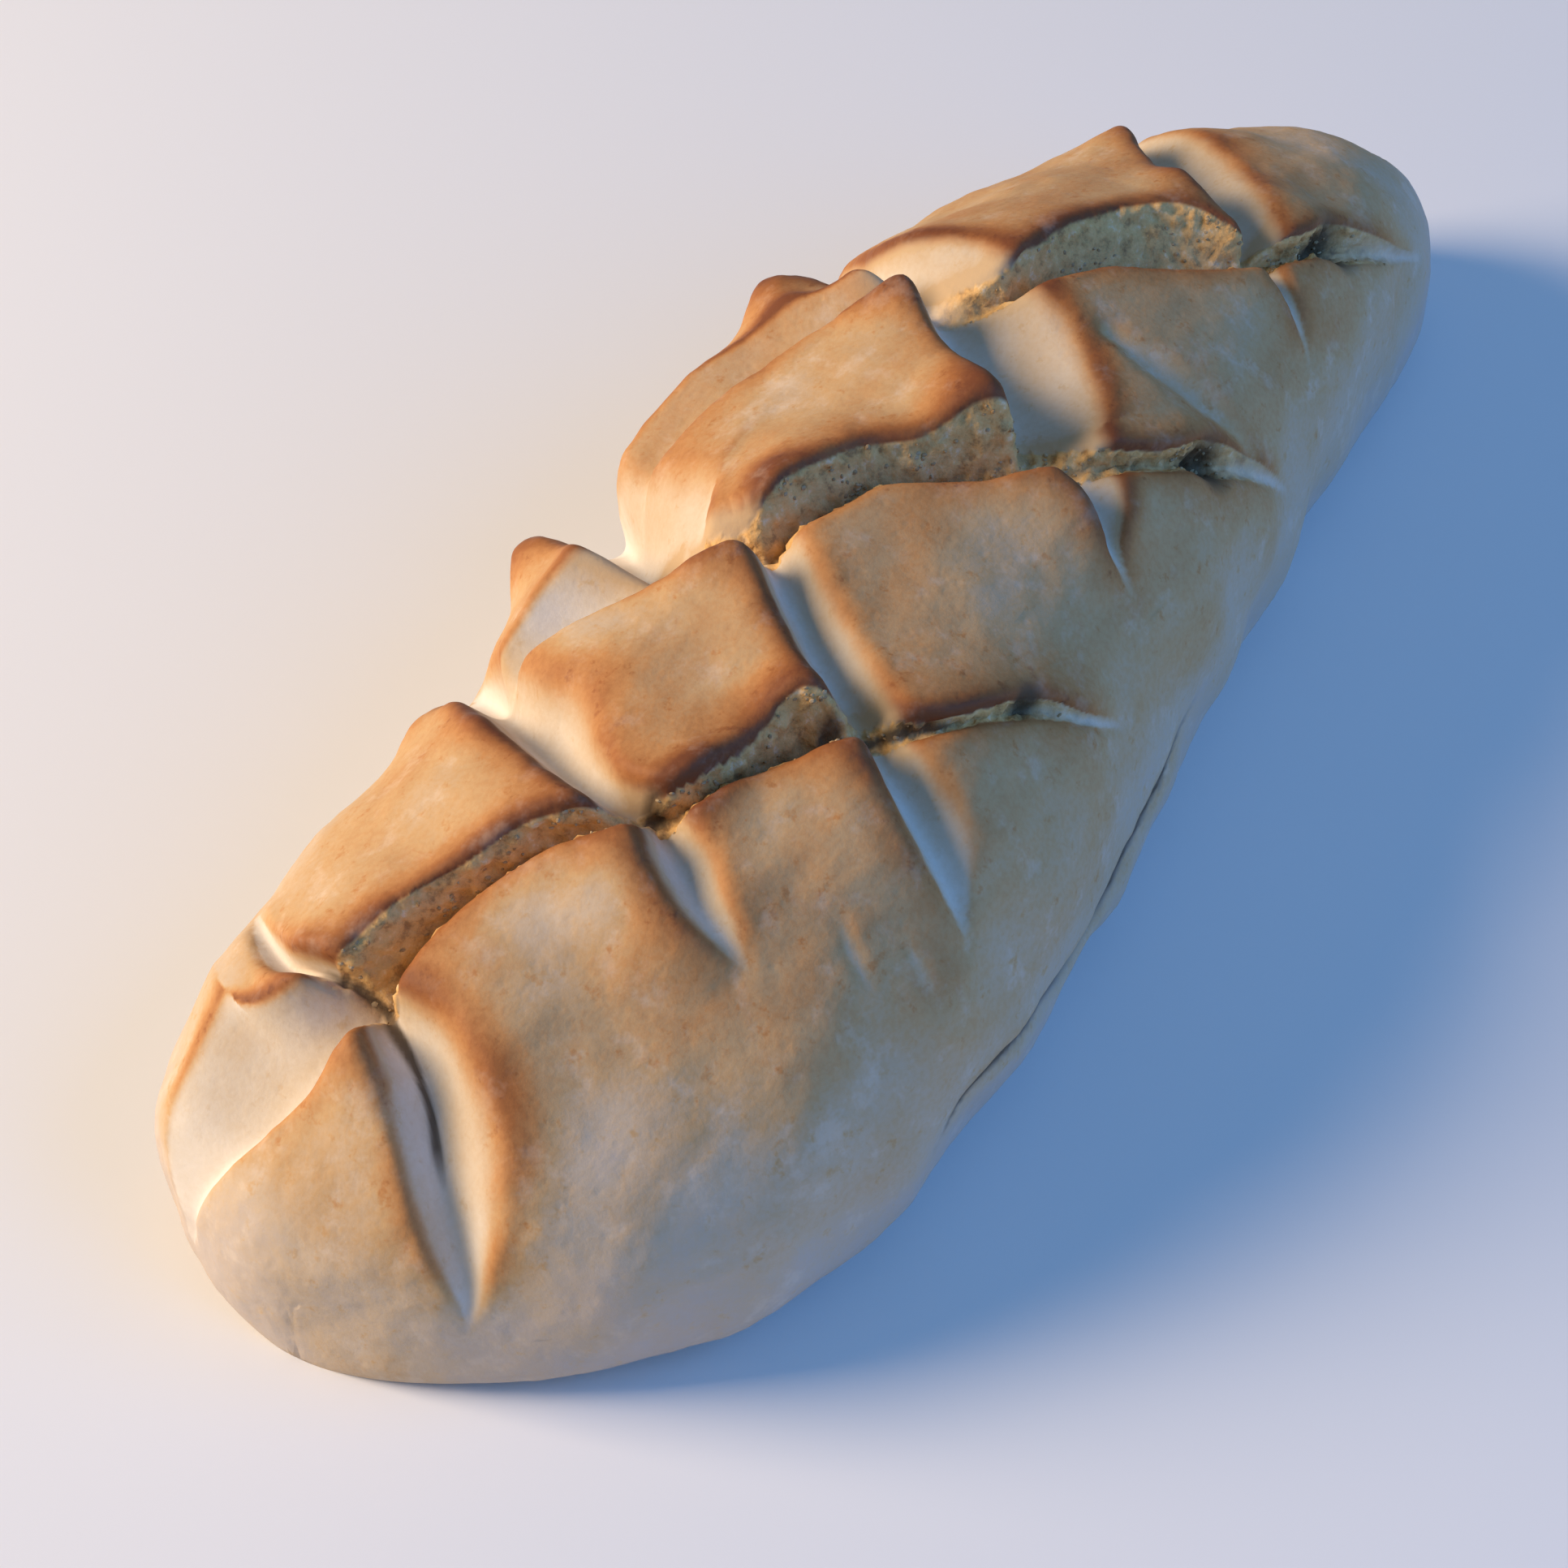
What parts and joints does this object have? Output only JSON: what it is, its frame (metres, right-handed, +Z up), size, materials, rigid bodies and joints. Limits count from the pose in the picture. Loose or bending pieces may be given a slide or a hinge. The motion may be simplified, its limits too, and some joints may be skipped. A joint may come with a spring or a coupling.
{
  "type": "long bread loaf",
  "caption": "Long baked bread loaf of soft oblong shape, its crust slashed crosswise so that browned flaps of crust lift over pale grooves",
  "frame": {"origin": "middle of the loaf's bounding box in plan, on the flat heel it rests on", "axes": "+X along the loaf from its near blunt end to its rounder far end, +Y to its left side, +Z up"},
  "size_m": [0.3512, 0.1258, 0.0852],
  "materials": {
    "crust": "dry baked bread crust, golden tan with browned edges and pale dough in the slashes"
  },
  "bodies": {
    "root": {"loaf": "crust"}
  },
  "joints": []
}
